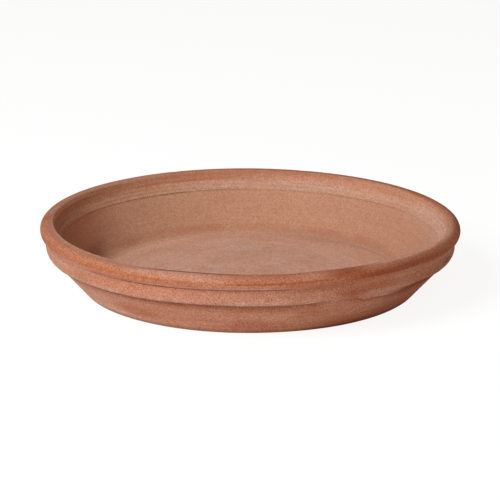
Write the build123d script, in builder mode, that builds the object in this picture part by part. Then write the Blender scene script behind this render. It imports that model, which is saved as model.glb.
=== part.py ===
from build123d import *

import os
from math import atan, cos, pi, sin, tan

# A round terracotta plant saucer. A floor slab lies in the foot of a flared wall, a collar band
# is wrapped round the top of the wall, and a thick rolled rim sits on the wall inside the collar.
# The clay pieces meet face to face, as they do when they are luted together before firing.
# Every section is drawn as radius and height, in millimetres, and turned about the Z axis.
# The saucer stands on Z = 0 with its axis on Z.

# Whole saucer
rim_diameter = 310.0
height = 50.0
foot_diameter = 245.0

# Rolled rim
roll_diameter = 11.6
rim_thickness = 10.0
lip_face = 3.6
lip_hollow_radius = 3.0
root_depth = 2.8

# Collar band under the roll
collar_height = 11.2
collar_inset = 4.0
collar_thickness = 6.5
belly_depth = 2.4
belly_height = 5.0
collar_overhang = 1.8
collar_edge_radius = 1.0

# Flared side wall
wall_thickness = 11.4
cove_radius = 12.0
scored_line_depth = 0.6
foot_edge_radius = 1.5

# Floor slab and the ledge that carries it
slab_thickness = 6.0
foot_recess = 1.6
ledge_width = 4.5
lap_share = 0.5

# Radii and heights of the roll
rim_radius = rim_diameter / 2
roll_radius = roll_diameter / 2
roll_centre_radius = rim_radius - roll_radius
roll_centre_height = height - roll_radius
lip_radius = rim_radius - rim_thickness
lip_round = rim_thickness - roll_radius
lip_top = height - lip_round
lip_foot = lip_top - lip_face

# Radii and heights of the collar and of its seat on the wall
collar_radius = rim_radius - collar_inset
collar_top = height - roll_diameter
collar_seat_radius = collar_radius - collar_thickness
collar_lip_radius = collar_radius - belly_depth
shoulder_height = collar_top - collar_height
shoulder_radius = collar_lip_radius - collar_overhang
belly_top = shoulder_height + belly_height

# The wall leans out from the foot to the shoulder, and its inner face is parallel to its outer one
foot_radius = foot_diameter / 2
flare = atan((shoulder_radius - foot_radius) / shoulder_height)
wall_width = wall_thickness / cos(flare)
inner_radius_at_table = foot_radius - wall_width

# The scored line inside marks where the wall ends and the rim starts
line_height = collar_top - root_depth
line_radius = inner_radius_at_table + line_height * tan(flare)

# A cove leads from the inner face of the wall into the floor
floor_height = foot_recess + slab_thickness
ledge_height = floor_height - slab_thickness * lap_share
cone_foot_radius = inner_radius_at_table + floor_height * tan(flare)
cove_angle = pi / 4 - flare / 2
cove_length = cove_radius * tan(cove_angle)
floor_radius = cone_foot_radius - cove_length
cove_top_radius = cone_foot_radius + cove_length * sin(flare)
cove_top = floor_height + cove_length * cos(flare)
slab_foot_radius = floor_radius - ledge_width

# Floor slab: a disc with a rebated edge that drops onto the ledge in the foot of the wall
with BuildPart() as floor_slab:
    with BuildSketch(Plane.XZ):
        with BuildLine():
            Polyline(
                (0, foot_recess),
                (slab_foot_radius, foot_recess),
                (slab_foot_radius, ledge_height),
                (floor_radius, ledge_height),
                (floor_radius, floor_height),
                (0, floor_height),
                close=True,
            )
        make_face()
    revolve(axis=Axis.Z)

# Side wall: the foot ring, the flared wall, the shoulder that carries the collar, and the cove
with BuildPart() as side_wall:
    with BuildSketch(Plane.XZ) as wall_section:
        with BuildLine():
            Polyline(
                (floor_radius, floor_height),
                (floor_radius, ledge_height),
                (slab_foot_radius, ledge_height),
                (slab_foot_radius, 0),
                (foot_radius, 0),
                (shoulder_radius, shoulder_height),
                (collar_seat_radius, shoulder_height),
                (collar_seat_radius, line_height),
                (line_radius, line_height),
                (cove_top_radius, cove_top),
            )
            TangentArc(
                (floor_radius, floor_height),
                (cove_top_radius, cove_top),
                tangent=(1, 0),
            )
        make_face()
        top_corners = wall_section.vertices().group_by(Axis.Y)[-1]
        chamfer(top_corners.sort_by(Axis.X)[0], length=scored_line_depth)
        foot_corners = wall_section.vertices().group_by(Axis.Y)[0]
        fillet(foot_corners, radius=foot_edge_radius)
    revolve(axis=Axis.Z)

# Collar band: upright face, full belly below, and an upstand that keeps the rim in place
with BuildPart() as collar_band:
    with BuildSketch(Plane.XZ) as collar_section:
        with BuildLine():
            Polyline(
                (collar_lip_radius, shoulder_height),
                (collar_seat_radius, shoulder_height),
                (collar_seat_radius, collar_top),
                (collar_radius, collar_top),
                (collar_radius, belly_top),
            )
            TangentArc(
                (collar_radius, belly_top),
                (collar_lip_radius, shoulder_height),
                tangent=(0, -1),
            )
        make_face()
        collar_corners = collar_section.vertices().group_by(Axis.Y)[-1]
        fillet(collar_corners.sort_by(Axis.X)[-1], radius=collar_edge_radius)
    revolve(axis=Axis.Z)

# Rim: the roll, its upright inner lip, and the root that stands on the wall inside the collar
with BuildPart() as rim_roll:
    with BuildSketch(Plane.XZ) as rim_section:
        with BuildLine():
            Polyline(
                (lip_radius, lip_top),
                (lip_radius, lip_foot),
                (line_radius, line_height),
                (collar_seat_radius, line_height),
                (collar_seat_radius, collar_top),
                (roll_centre_radius, collar_top),
            )
            CenterArc(
                (roll_centre_radius, roll_centre_height),
                roll_radius,
                start_angle=-90,
                arc_size=180,
            )
            CenterArc(
                (roll_centre_radius, lip_top),
                lip_round,
                start_angle=90,
                arc_size=90,
            )
        make_face()
        lip_corner = rim_section.vertices().sort_by_distance((lip_radius, lip_foot))[0]
        fillet(lip_corner, radius=lip_hollow_radius)
    revolve(axis=Axis.Z)

os.makedirs("parts", exist_ok=True)
pieces = {
    "floor_slab": floor_slab,
    "side_wall": side_wall,
    "collar_band": collar_band,
    "rim_roll": rim_roll,
}
for name, piece in pieces.items():
    piece.part.label = name
    export_step(piece.part, f"parts/{name}.step")
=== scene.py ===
"""A round terracotta plant saucer: four turned clay pieces, their fired-clay finishes and a small studio.

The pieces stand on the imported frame, in metres, with the axis on Z and the front towards -Y.
A turn is counted from the front, positive to the right.
"""

import math
import random
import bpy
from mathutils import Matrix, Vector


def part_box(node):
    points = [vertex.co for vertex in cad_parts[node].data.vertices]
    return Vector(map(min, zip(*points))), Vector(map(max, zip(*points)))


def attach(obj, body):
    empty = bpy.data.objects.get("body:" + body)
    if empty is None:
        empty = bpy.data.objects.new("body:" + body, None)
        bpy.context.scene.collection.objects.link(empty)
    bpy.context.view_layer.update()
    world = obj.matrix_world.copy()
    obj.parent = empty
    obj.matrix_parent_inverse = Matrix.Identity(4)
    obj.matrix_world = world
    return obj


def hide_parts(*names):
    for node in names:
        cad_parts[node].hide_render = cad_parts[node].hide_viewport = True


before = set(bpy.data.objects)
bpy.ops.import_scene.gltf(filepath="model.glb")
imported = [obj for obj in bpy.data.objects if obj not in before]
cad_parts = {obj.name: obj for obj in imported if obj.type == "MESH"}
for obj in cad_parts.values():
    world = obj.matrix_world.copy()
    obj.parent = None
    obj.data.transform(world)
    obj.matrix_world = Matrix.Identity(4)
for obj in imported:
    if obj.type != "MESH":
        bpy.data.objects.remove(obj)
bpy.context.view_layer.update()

from types import SimpleNamespace

import bmesh
import bpy
from bpy.props import FloatProperty, FloatVectorProperty, IntProperty, PointerProperty
from mathutils import Vector, kdtree, noise

bl_info = {
    "name": "Terracotta plant saucer",
    "version": (1, 0, 0),
    "blender": (4, 5, 0),
    "location": "View3D > Sidebar > Saucer",
    "description": "Turns the clay pieces of a plant saucer, finishes them and lights them",
    "category": "Add Mesh",
}

IMAGE_PIXELS = 500
SECTORS = 16
STUDIO_FLOOR_SIDES = 64
SHARP_ANGLE = math.radians(50)
WHITE = (1.0, 1.0, 1.0, 1.0)
FLOAT = "NodeSocketFloat"
VECTOR = "NodeSocketVector"

# Parts of the mesh step at which points count as on the axis, and as one
AXIS_SHARE = 0.1
MERGE_SHARE = 0.02

# How far the hand marks reach along the section
OUTSIDE_DEPTH = 0.0070
FLOOR_BLEND = 0.0040
CREASE_REACH = 0.0034
STEP_REACH = 0.0026
SMEAR_BELOW, SMEAR_ABOVE = 0.0018, 0.0020
SMEAR_START, SMEAR_FULL = 0.0030, 0.0020
BURR_RISE, BURR_REACH = 0.0010, 0.0008
FADE_RISE, FADE_REACH = 0.0008, 0.0022
CROWN_START, CROWN_FULL = 0.0040, 0.0010
ARRIS_REACH = 0.0032
LINE_REACH = 0.0009
SMALLEST_NICK, LARGEST_NICK = 0.0014, 0.0034
FOOT_BELOW_NICKS = 0.0030
FLOOR_FACE_DEPTH = 0.0010

# The oval's turn, the rows of slow waves in a metre, and the parts of wear and fill that go each way
OVAL_TURN = 1.4
SLOW_ROWS = 30
WEAR_SHARE = 0.7
FILL_IN, FILL_UP = 0.74, 0.66

# How far the darkening lies from the creases: mostly painted shade, with a little dirt
LINE_DARKENING = 0.0004
ROLL_SHADE, ROLL_SHADOW = 0.0008, 0.0024
SEAM_DUST_AND_SHADE = 0.0012
CUT_SHADE, CUT_SHADOW = 0.0018, 0.0050
FLOOR_DARKENING = 0.0070

# Light spots of the clay are chalkier, and dark ones redder
CHALK_SHARES = (0.56, 1.0, 1.28)

# Depth of the grain and of the fine ridges in the finish
GRAIN_RELIEF = 0.00035
RIDGE_RELIEF = 0.0004

floor_low, floor_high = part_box("floor_slab")
wall_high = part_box("side_wall")[1]
collar_low, collar_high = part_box("collar_band")
rim_low, rim_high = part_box("rim_roll")


def linear(red, green, blue):
    """A colour given as 0 to 255 display values, as linear light."""
    channels = []
    for value in (red, green, blue):
        part = value / 255
        channels.append(part / 12.92 if part <= 0.04045 else ((part + 0.055) / 1.055) ** 2.4)
    return channels


def length(name, description, default):
    """A length in metres that a user can change."""
    return FloatProperty(name=name, description=description, default=default, unit="LENGTH", precision=5)


def share(name, description, default):
    """A plain number from 0 to 1 that a user can change."""
    return FloatProperty(name=name, description=description, default=default, min=0.0, max=1.0)


def amount(name, description, default):
    """A plain number that a user can change."""
    return FloatProperty(name=name, description=description, default=default)


def angle(name, description, degrees):
    """An angle, given in degrees, that a user can change."""
    return FloatProperty(name=name, description=description, default=math.radians(degrees), subtype="ANGLE")


def power(name, description, default):
    """A lamp's power in watts that a user can change."""
    return FloatProperty(name=name, description=description, default=default, subtype="POWER")


def colour(name, description, default):
    """A colour that a user can change."""
    return FloatVectorProperty(
        name=name, description=description, default=default, subtype="COLOR", size=3, min=0.0, max=1.0
    )


class SaucerSizes(bpy.types.PropertyGroup):
    """Sizes of the turned sections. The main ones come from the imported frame."""

    rim_radius: length("Rim radius", "Outer radius of the rolled rim", rim_high.x)
    height: length("Height", "Height of the rim above the table", rim_high.z)
    line_height: length("Scored line", "Height of the scored line inside", rim_low.z)
    collar_radius: length("Collar radius", "Outer radius of the collar", collar_high.x)
    collar_top: length("Collar top", "Height of the crease under the roll", collar_high.z)
    shoulder_height: length("Shoulder", "Height of the step under the collar", collar_low.z)
    shoulder_radius: length("Shoulder radius", "Radius of the wall under the collar", wall_high.x)
    floor_height: length("Floor height", "Height of the floor inside", floor_high.z)
    foot_recess: length("Foot recess", "Height of the underside above the table", floor_low.z)
    floor_radius: length("Floor radius", "Radius of the flat floor inside", floor_high.x)
    foot_radius: length("Foot radius", "Outer radius of the foot", 0.1225)
    rim_thickness: length("Rim thickness", "Thickness of the rim from lip to roll", 0.010)
    arris_round: length("Arris rounding", "Rounding of the rim's inner edge", 0.0018)
    lip_face: length("Lip face", "Upright part of the inner lip", 0.0036)
    lip_hollow: length("Lip hollow", "Rounding where the lip meets the slope below it", 0.0011)
    collar_thickness: length("Collar thickness", "Thickness of the collar band", 0.0065)
    belly_depth: length("Belly depth", "How far the collar draws in at its lower edge", 0.0024)
    belly_height: length("Belly height", "Height of the rounded lower part of the collar", 0.0050)
    collar_edge: length("Collar edge", "Rounding of the collar's upper edge", 0.0010)
    collar_lip_edge: length("Collar lip edge", "Rounding of the collar's lower edge", 0.0005)
    wall_thickness: length("Wall thickness", "Thickness of the flared wall", 0.0114)
    undercut_depth: length("Undercut depth", "Depth of the groove that was cut under the collar", 0.0011)
    undercut_height: length("Undercut height", "Height of that groove", 0.0024)
    line_depth: length("Line depth", "Depth of the scored line", 0.0003)
    foot_edge: length("Foot edge", "Rounding of the foot's edges", 0.0015)
    ledge_width: length("Ledge width", "Width of the ledge that carries the floor", 0.0045)
    lap_share: share("Lap share", "Part of the floor's thickness that laps over the ledge", 0.5)
    mesh_step: length("Mesh step", "Spacing of the rings of the finished meshes", 0.0010)
    turn_steps: IntProperty(name="Turn steps", description="Steps in a full turn", default=480, min=64)


class HandMarks(bpy.types.PropertyGroup):
    """What throwing, tooling, drying, firing and wear did to the turned shape."""

    lean: length("Lean", "Drop of the rim on the right, and rise on the left", 0.0009)
    oval: length("Oval", "How far the rim is out of round", 0.00025)
    slow_wave: length("Slow waves", "Depth of the slow unevenness of the wall", 0.00030)
    wheel_mark: length("Wheel marks", "Depth of the ridges that the fingers left", 0.00014)
    wheel_spacing: length("Wheel mark spacing", "Distance between those ridges", 0.0042)
    crease_rise: length("Crease rise", "Rise of the crease under the roll, right of the front", 0.0028)
    crease_fill: length("Crease fill", "Clay smeared into that crease on both sides", 0.0032)
    crown_warp: length("Crown warp", "How far the rim's crown is off in front", 0.0012)
    edge_wear: length("Edge wear", "Wear of the rim's inner edge on the right", 0.0011)
    tool_burr: length("Tool burr", "Ridge that the tool pushed up under the collar", 0.0004)
    tool_jog: length("Tool jog", "Step where the ends of the tooled line under the collar miss", 0.0013)
    lip_fade: length("Lip fade", "Wear of the collar's lower edge beside that step", 0.0007)
    nick_depth: length("Nick depth", "Depth of the deepest small nicks", 0.00045)
    nick_count: IntProperty(name="Nicks", description="Number of small nicks and pits", default=150, min=0)
    seed: IntProperty(name="Seed", description="Seed of the nicks", default=7)


class ClayColours(bpy.types.PropertyGroup):
    """Colours of the fired clay."""

    rim_pink: colour("Rim", "Rolled rim", linear(193, 127, 98))
    collar_pink: colour("Collar", "Collar band", linear(197, 135, 108))
    wall_pink: colour("Outer wall", "Outside of the flared wall", linear(203, 141, 112))
    inside_tan: colour("Inner wall", "Inside of the flared wall", linear(208, 154, 123))
    lip_tan: colour("Inner lip", "Inner face of the lip", linear(206, 150, 119))
    band_pale: colour("Pale band", "Slope between the lip and the scored line", linear(214, 169, 145))
    floor_pale: colour("Floor", "Floor of the saucer", linear(227, 171, 144))
    under_pink: colour("Underside", "Underside of the floor", linear(196, 137, 111))
    # Laid as painted shade on the far left of the inside, where the key lamp's shadow falls, and as a browner
    # tone on the roll's crown on the left
    shade_brown: colour("Brown shade", "Browner clay on the left of the inside", linear(176, 112, 79))
    # Also laid as painted shade under the collar and on the shaded right
    iron_and_shade_orange: colour("Iron orange", "Orange flashes of iron", linear(184, 104, 66))
    # Also laid as painted shade under the collar, on the collar's lower edge, on the rim's outer edge and on
    # the shaded right
    iron_and_shade_brown: colour("Iron brown", "Dark streaks of iron", linear(152, 71, 38))
    # Also laid as painted light low on the roll and on the wall's left, and as painted highlights on the
    # rim's inner edge and the collar's lower edge
    bloom_and_light_pale: colour("Bloom", "Pale lime bloom", linear(225, 181, 160))
    # Mostly painted shade: laid in the creases, under the collar, along the front of the rim's inner edge, in
    # the inner corner and at the foot, and also for fine dark lines
    crease_shade_dark: colour("Crease", "Dust in the creases", linear(112, 53, 27))
    # Also laid as painted shade at the foot on the right, where the saucer meets the floor
    grit_and_shade_dark: colour("Grit", "Dark grit in the clay", linear(58, 26, 14))


class StudioSettings(bpy.types.PropertyGroup):
    """Camera, lamps and floor."""

    camera_elevation: angle("Camera elevation", "Angle of the camera above the table", 16.0)
    camera_distance: length("Camera distance", "Distance from the camera to the point it aims at", 1.860)
    aim_height: length("Aim height", "Height of the point that the camera aims at", 0.02545)
    aim_side: length("Aim side", "Sideways place of the point that the camera aims at", -0.00022)
    pixels_per_metre: amount("Pixels per metre", "Scale of the picture at the aim point", 1349.0)
    key_direction: angle("Key direction", "Turn of the key lamp from the front", -50.0)
    key_elevation: angle("Key elevation", "Angle of the key lamp above the table", 40.0)
    key_power: power("Key power", "Power of the key lamp", 16.6)
    key_tint: colour("Key tint", "Coolness of the key lamp", (0.89, 0.945, 1.0))
    fill_direction: angle("Fill direction", "Turn of the low fill lamp from the front", -6.0)
    fill_elevation: angle("Fill elevation", "Angle of the low fill lamp above the table", 10.0)
    fill_power: power("Fill power", "Power of the low fill lamp", 7.1)
    fill_tint: colour("Fill tint", "Warmth of the low fill lamp", (1.0, 0.92, 0.84))
    lamp_distance: length("Lamp distance", "Distance of the lamps from the saucer", 1.6)
    lamp_size: length("Lamp size", "Side of the square lamps", 0.9)
    room_light: amount("Room light", "Level of the soft light all round", 0.20)
    room_tint: colour("Room tint", "Warmth of the soft light all round", (1.0, 0.90, 0.80))
    floor_size: length("Floor size", "Radius of the studio floor", 9.0)
    clear_gap: length("Clear gap", "How close under the saucer the floor lets light through", 0.004)
    floor_white: colour("Studio floor", "Colour of the studio floor", linear(240, 240, 240))
    shadow_share: share("Shadow share", "How much of the floor's own light and shade is seen", 0.26)
    floor_glow: share("Floor glow", "White that the camera sees besides that light and shade", 0.89)


def setting_names(settings):
    """Names of the settings in a property group."""
    names = [prop.identifier for prop in settings.bl_rna.properties]
    return [name for name in names if name not in {"rna_type", "name"}]


def plain_copy(settings):
    """A plain copy of a property group, which is quicker to read for every point."""
    return SimpleNamespace(**{name: getattr(settings, name) for name in setting_names(settings)})


def section_sizes(scene):
    """The sizes that a user can change, with the radii and heights that follow from them."""
    sizes = plain_copy(scene.saucer_sizes)
    sizes.slope = (sizes.shoulder_radius - sizes.foot_radius) / sizes.shoulder_height
    sizes.inner_foot = sizes.foot_radius - sizes.wall_thickness * math.hypot(1, sizes.slope)
    sizes.cone_foot = sizes.inner_foot + sizes.slope * sizes.floor_height
    sizes.line_radius = sizes.inner_foot + sizes.slope * sizes.line_height
    sizes.slab_radius = sizes.floor_radius - sizes.ledge_width
    sizes.ledge_height = sizes.floor_height - (sizes.floor_height - sizes.foot_recess) * sizes.lap_share
    sizes.seat_radius = sizes.collar_radius - sizes.collar_thickness
    sizes.collar_lip = sizes.collar_radius - sizes.belly_depth
    sizes.roll_radius = (sizes.height - sizes.collar_top) / 2
    sizes.lip_radius = sizes.rim_radius - sizes.rim_thickness
    sizes.lip_foot = sizes.height - sizes.rim_thickness + sizes.roll_radius - sizes.lip_face
    return sizes


def ease(value, start, end):
    """0 before start, 1 after end, and a smooth change between them."""
    part = min(1.0, max(0.0, (value - start) / (end - start)))
    return part * part * (3 - 2 * part)


def hump(value, centre, width):
    """1 at the centre, falling away smoothly over the width on both sides."""
    return math.exp(-(((value - centre) / width) ** 2))


def bridge(turn, rise, fall):
    """0, then 1, then 0 again as the turn passes a rise and a fall, both given in degrees."""
    degrees = math.degrees(turn)
    return ease(degrees, *rise) * (1 - ease(degrees, *fall))


def uneven(ring_x, ring_y, rate, row):
    """An uneven value from -1 to 1 at a point of the unit circle. A higher rate changes it faster."""
    return noise.noise(Vector((rate * ring_x, rate * ring_y, row)))


def waver(turn, rate, row):
    """An uneven value from -1 to 1, by the turn."""
    return uneven(math.cos(turn), math.sin(turn), rate, row)


def drawn_section(corners, step):
    """A closed section of (radius, height, rounding) corners in the XZ plane, with even edges."""
    section = bmesh.new()
    points = [section.verts.new((radius, 0, level)) for radius, level, _ in corners]
    section.faces.new(points)
    for point, (_, _, rounding) in zip(points, corners):
        if rounding:
            # A quarter turn is about 1.6 times as long as its radius
            bmesh.ops.bevel(
                section,
                geom=[point],
                offset=rounding,
                offset_type="OFFSET",
                segments=max(3, math.ceil(1.6 * rounding / step)),
                profile=0.5,
                affect="VERTICES",
                material=-1,
            )
    bmesh.ops.delete(section, geom=section.faces[:], context="FACES_ONLY")
    on_axis = [edge for edge in section.edges if max(v.co.x for v in edge.verts) < AXIS_SHARE * step]
    bmesh.ops.delete(section, geom=on_axis, context="EDGES")
    bmesh.ops.remove_doubles(section, verts=section.verts[:], dist=MERGE_SHARE * step)
    for edge in section.edges[:]:
        cuts = int(edge.calc_length() / step)
        if cuts:
            bmesh.ops.subdivide_edges(section, edges=[edge], cuts=cuts)
    return section


def turned_solid(corners, step, turn_steps):
    """The closed solid that the section makes in one turn about Z, turned as one sector and its copies."""
    solid = drawn_section(corners, step)
    sector = math.tau / SECTORS
    turning = {"axis": (0, 0, 1), "cent": (0, 0, 0)}
    bmesh.ops.spin(
        solid, geom=solid.verts[:] + solid.edges[:], angle=sector, steps=turn_steps // SECTORS, **turning
    )
    bmesh.ops.spin(
        solid,
        geom=solid.verts[:] + solid.edges[:] + solid.faces[:],
        angle=math.tau - sector,
        steps=SECTORS - 1,
        use_duplicate=True,
        **turning,
    )
    bmesh.ops.remove_doubles(solid, verts=solid.verts[:], dist=MERGE_SHARE * step)
    bmesh.ops.recalc_face_normals(solid, faces=solid.faces[:])
    return solid


def turn_from_front(place):
    """The turn of a place from the front, positive to the right."""
    return math.atan2(place.x, -place.y)


def crease_shift(turn, hand):
    """How far the crease under the roll wanders up."""
    rise = 0.57 * bridge(turn, (-35, 2), (100, 170)) + 0.65 * hump(math.degrees(turn), 29, 12)
    return hand.crease_rise * (rise - 0.11 + 0.08 * waver(turn, 3, 5.5))


def crease_open(turn):
    """1 where the crease under the roll is open, and 0 where clay was smeared into it."""
    return bridge(turn, (-56, -24), (6, 16)) + ease(abs(math.degrees(turn)), 110, 150)


def jog_shift(turn, hand):
    """How far up the step under the collar is off: its two ends miss each other."""
    first_end = 0.15 * bridge(turn, (-28, -10), (29.5, 32)) + 0.85 * bridge(turn, (12, 22), (29.5, 32))
    second_end = 0.4 * bridge(turn, (46, 52), (58, 70)) - 1.2 * bridge(turn, (29.5, 32.5), (42, 50))
    left = -0.5 * bridge(turn, (-140, -110), (-30, -14))
    return hand.tool_jog * (first_end + second_end + left + 0.16 * waver(turn, 11, 2.5))


def crown_shift(turn):
    """How far up the rim's crown is off: low on the left of the front and high on the right."""
    low = 0.5 * bridge(turn, (-80, -60), (-42, -20)) + 0.7 * hump(math.degrees(turn), -31, 9)
    return 0.5 * bridge(turn, (10, 18), (46, 62)) - low


def smeared_radius(level, sizes):
    """Radius of the clay that was smeared over the crease, from the collar's face to the roll."""
    low, high = sizes.collar_top - SMEAR_BELOW, sizes.collar_top + SMEAR_ABOVE
    if not low < level < high:
        return 0.0
    above_centre = high - sizes.height + sizes.roll_radius
    on_roll = sizes.rim_radius - sizes.roll_radius + math.sqrt(sizes.roll_radius**2 - above_centre**2)
    return sizes.collar_radius + (on_roll - sizes.collar_radius) * (level - low) / (high - low)


def thrown_shift(point, radius, sizes, hand):
    """Shift out and up from throwing and drying: lean, oval, slow waves and wheel marks."""
    ring = (point.x / radius, point.y / radius)
    rise = point.z / sizes.height
    out = hand.oval * rise * math.cos(2 * turn_from_front(point) - OVAL_TURN)
    up = -hand.lean * rise * point.x / sizes.rim_radius
    out += hand.slow_wave * uneven(*ring, 1.7, SLOW_ROWS * point.z)
    up += hand.slow_wave * rise * uneven(*ring, 2.3, 7 + SLOW_ROWS * radius)
    mark = hand.wheel_mark * uneven(*ring, 0.9, (radius + point.z) / hand.wheel_spacing)
    flat = ease(sizes.floor_radius - radius, -FLOOR_BLEND, FLOOR_BLEND)
    out += mark * (1 - flat)
    up += mark * flat * ease(point.z, 0, sizes.foot_recess)
    return out, up


def tooled_shift(point, radius, sizes, hand):
    """Shift out and up from tooling the outside: the wandering creases, the smeared one and the burr."""
    outside = ease(radius, sizes.shoulder_radius - OUTSIDE_DEPTH, sizes.shoulder_radius)
    if not outside:
        return 0.0, 0.0
    turn, level = turn_from_front(point), point.z
    up = outside * crease_shift(turn, hand) * hump(level, sizes.collar_top, CREASE_REACH)
    up += outside * jog_shift(turn, hand) * hump(level, sizes.shoulder_height, STEP_REACH)
    on_face = ease(radius, sizes.collar_radius - SMEAR_START, sizes.collar_radius - SMEAR_FULL)
    filled = min(hand.crease_fill, max(0.0, smeared_radius(level, sizes) - radius))
    out = (1 - crease_open(turn)) * on_face * filled
    burr = bridge(turn, (34, 37), (41, 45)) * hump(level, sizes.shoulder_height + BURR_RISE, BURR_REACH)
    out += outside * hand.tool_burr * burr
    worn = bridge(turn, (14, 26), (33, 40)) * hump(level, sizes.shoulder_height + FADE_RISE, FADE_REACH)
    out -= outside * hand.lip_fade * worn
    return out, up


def rim_shift(point, radius, sizes, hand):
    """Shift out and up of the rim: its warped crown, its worn inner edge and the filled scored line."""
    level = point.z
    crown = ease(level, sizes.collar_top + CROWN_START, sizes.height - CROWN_FULL)
    up = crown * hand.crown_warp * crown_shift(turn_from_front(point))
    off_arris = math.hypot(radius - sizes.lip_radius, level - sizes.height)
    worn = WEAR_SHARE * hand.edge_wear * ease(point.x, 0.10, 0.13) * hump(off_arris, 0, ARRIS_REACH)
    off_line = math.hypot(radius - sizes.line_radius, level - sizes.line_height)
    fill = (1 - scored_line(point)) * sizes.line_depth * hump(off_line, 0, LINE_REACH)
    return worn - FILL_IN * fill, up - worn + FILL_UP * fill


def fired_point(point, sizes, hand):
    """Where a turned point is once the clay has been thrown, tooled, dried, fired and worn."""
    radius = math.hypot(point.x, point.y)
    if radius == 0:
        return point
    shifts = [shift(point, radius, sizes, hand) for shift in (thrown_shift, tooled_shift, rim_shift)]
    grown = 1 + sum(out for out, _ in shifts) / radius
    return Vector((point.x * grown, point.y * grown, point.z + sum(up for _, up in shifts)))


def nick(solid, hand, low, high):
    """Press small seeded nicks and pits into the solid, where its height is between low and high."""
    solid.verts.ensure_lookup_table()
    solid.normal_update()
    places = kdtree.KDTree(len(solid.verts))
    for number, vert in enumerate(solid.verts):
        places.insert(vert.co, number)
    places.balance()
    draw = random.Random(hand.seed)
    for _ in range(hand.nick_count):
        vert = solid.verts[draw.randrange(len(solid.verts))]
        reach = draw.uniform(SMALLEST_NICK, LARGEST_NICK)
        depth = hand.nick_depth * draw.random() ** 2
        if not low < vert.co.z < high:
            continue
        centre, inward = vert.co.copy(), -vert.normal
        for _, number, gap in places.find_range(centre, 2 * reach):
            near = solid.verts[number]
            if near.normal.dot(inward) < 0:
                near.co += inward * depth * hump(gap, 0, reach)


def crease_layer(solid, creases):
    """Store how deep in a crease each point lies, from 0 to 1, for the painted crease shade in the clay's
    colour.

    A crease is its radius, height and width, and how strong it is at a place.
    """
    layer = solid.verts.layers.float.new("crease")
    for vert in solid.verts:
        radius = math.hypot(vert.co.x, vert.co.y)
        depth = 0.0
        for crease_radius, level, width, strength in creases:
            off = math.hypot(radius - crease_radius, vert.co.z - level)
            if off < 3 * width:
                depth = max(depth, strength(vert.co) * hump(off, 0, width))
        vert[layer] = depth


def slab_seam(place):
    """Dust in the seam round the underside of the floor."""
    return 0.8


def roll_crease(place):
    """Painted shade, with a little dirt, in the crease under the roll, where that is open."""
    return 0.4 * crease_open(turn_from_front(place))


def roll_shadow(place):
    """Painted shade lies wider in that crease where it is about to be lost."""
    return 0.24 * bridge(turn_from_front(place), (8, 18), (24, 33))


def collar_crease(place):
    """The cut under the collar is deep all round, apart from the worn stretch beside its two ends, and its
    painted shade follows that.
    """
    turn = turn_from_front(place)
    return 0.95 + 0.25 * waver(turn, 17, 8.5) - 0.75 * bridge(turn, (14, 27), (31, 37))


def collar_shadow(place):
    """Painted shadow that lies wider under the collar."""
    return 0.75 * collar_crease(place)


def scored_line(place):
    """The scored line is crisp but broken at the back left, and faint elsewhere."""
    broken = 1 + 0.7 * waver(turn_from_front(place), 26, 4.5)
    crisp = 0.65 * broken * ease(place.x, -0.138, -0.118) * (1 - 0.85 * ease(place.x, -0.07, 0.01))
    return 0.05 + crisp + 0.18 * ease(place.x, 0.05, 0.08) * (1 - ease(place.x, 0.105, 0.125))


def floor_edge(place):
    """The edge of the floor is browner on the right."""
    return 0.2 * ease(place.x, 0.0, 0.05)


def under_roll(radius, sizes):
    """The two widths of painted shade, with a little dirt, in the crease under the roll, which is at a
    radius.
    """
    return [
        (radius, sizes.collar_top, ROLL_SHADE, roll_crease),
        (radius, sizes.collar_top, ROLL_SHADOW, roll_shadow),
    ]


def fired_solid(context, corners, creases, nicked, step_share):
    """The solid of a section, with its painted crease shade, its hand marks and the nicks between two
    heights.
    """
    sizes, hand = section_sizes(context.scene), plain_copy(context.scene.saucer_hand)
    solid = turned_solid(corners, step_share * sizes.mesh_step, sizes.turn_steps)
    crease_layer(solid, creases)
    for vert in solid.verts:
        vert.co = fired_point(vert.co, sizes, hand)
    nick(solid, hand, *nicked)
    return solid


def finished_piece(name, solid, node, materials):
    """Make the solid an object that stands for its node of the frame."""
    mesh = bpy.data.meshes.new(name)
    solid.to_mesh(mesh)
    solid.free()
    mesh.shade_smooth()
    mesh.set_sharp_from_angle(angle=SHARP_ANGLE)
    for material in materials:
        mesh.materials.append(material)
    piece = bpy.data.objects.new(name, mesh)
    bpy.context.scene.collection.objects.link(piece)
    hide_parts(node)
    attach(piece, "root")


def new_node(tree, kind, inputs=None, **settings):
    """A shader node with its settings, and its inputs set or linked."""
    made = tree.nodes.new(kind)
    for name, value in settings.items():
        setattr(made, name, value)
    for socket, value in (inputs or {}).items():
        if isinstance(value, bpy.types.NodeSocket):
            tree.links.new(value, made.inputs[socket])
        else:
            made.inputs[socket].default_value = value
    return made


def sums(tree, operation, first, second=0.0, clamp=False):
    """The result of a Math node."""
    made = new_node(tree, "ShaderNodeMath", {0: first, 1: second}, operation=operation, use_clamp=clamp)
    return made.outputs[0]


def ranged(tree, value, start, end, low=0.0, high=1.0):
    """A value brought smoothly from start..end to low..high."""
    inputs = {"Value": value, "From Min": start, "From Max": end, "To Min": low, "To Max": high}
    made = new_node(tree, "ShaderNodeMapRange", inputs, interpolation_type="SMOOTHSTEP")
    return made.outputs["Result"]


def vectors(tree, operation, inputs):
    """The outputs of a Vector Math node."""
    return new_node(tree, "ShaderNodeVectorMath", inputs, operation=operation).outputs


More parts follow.
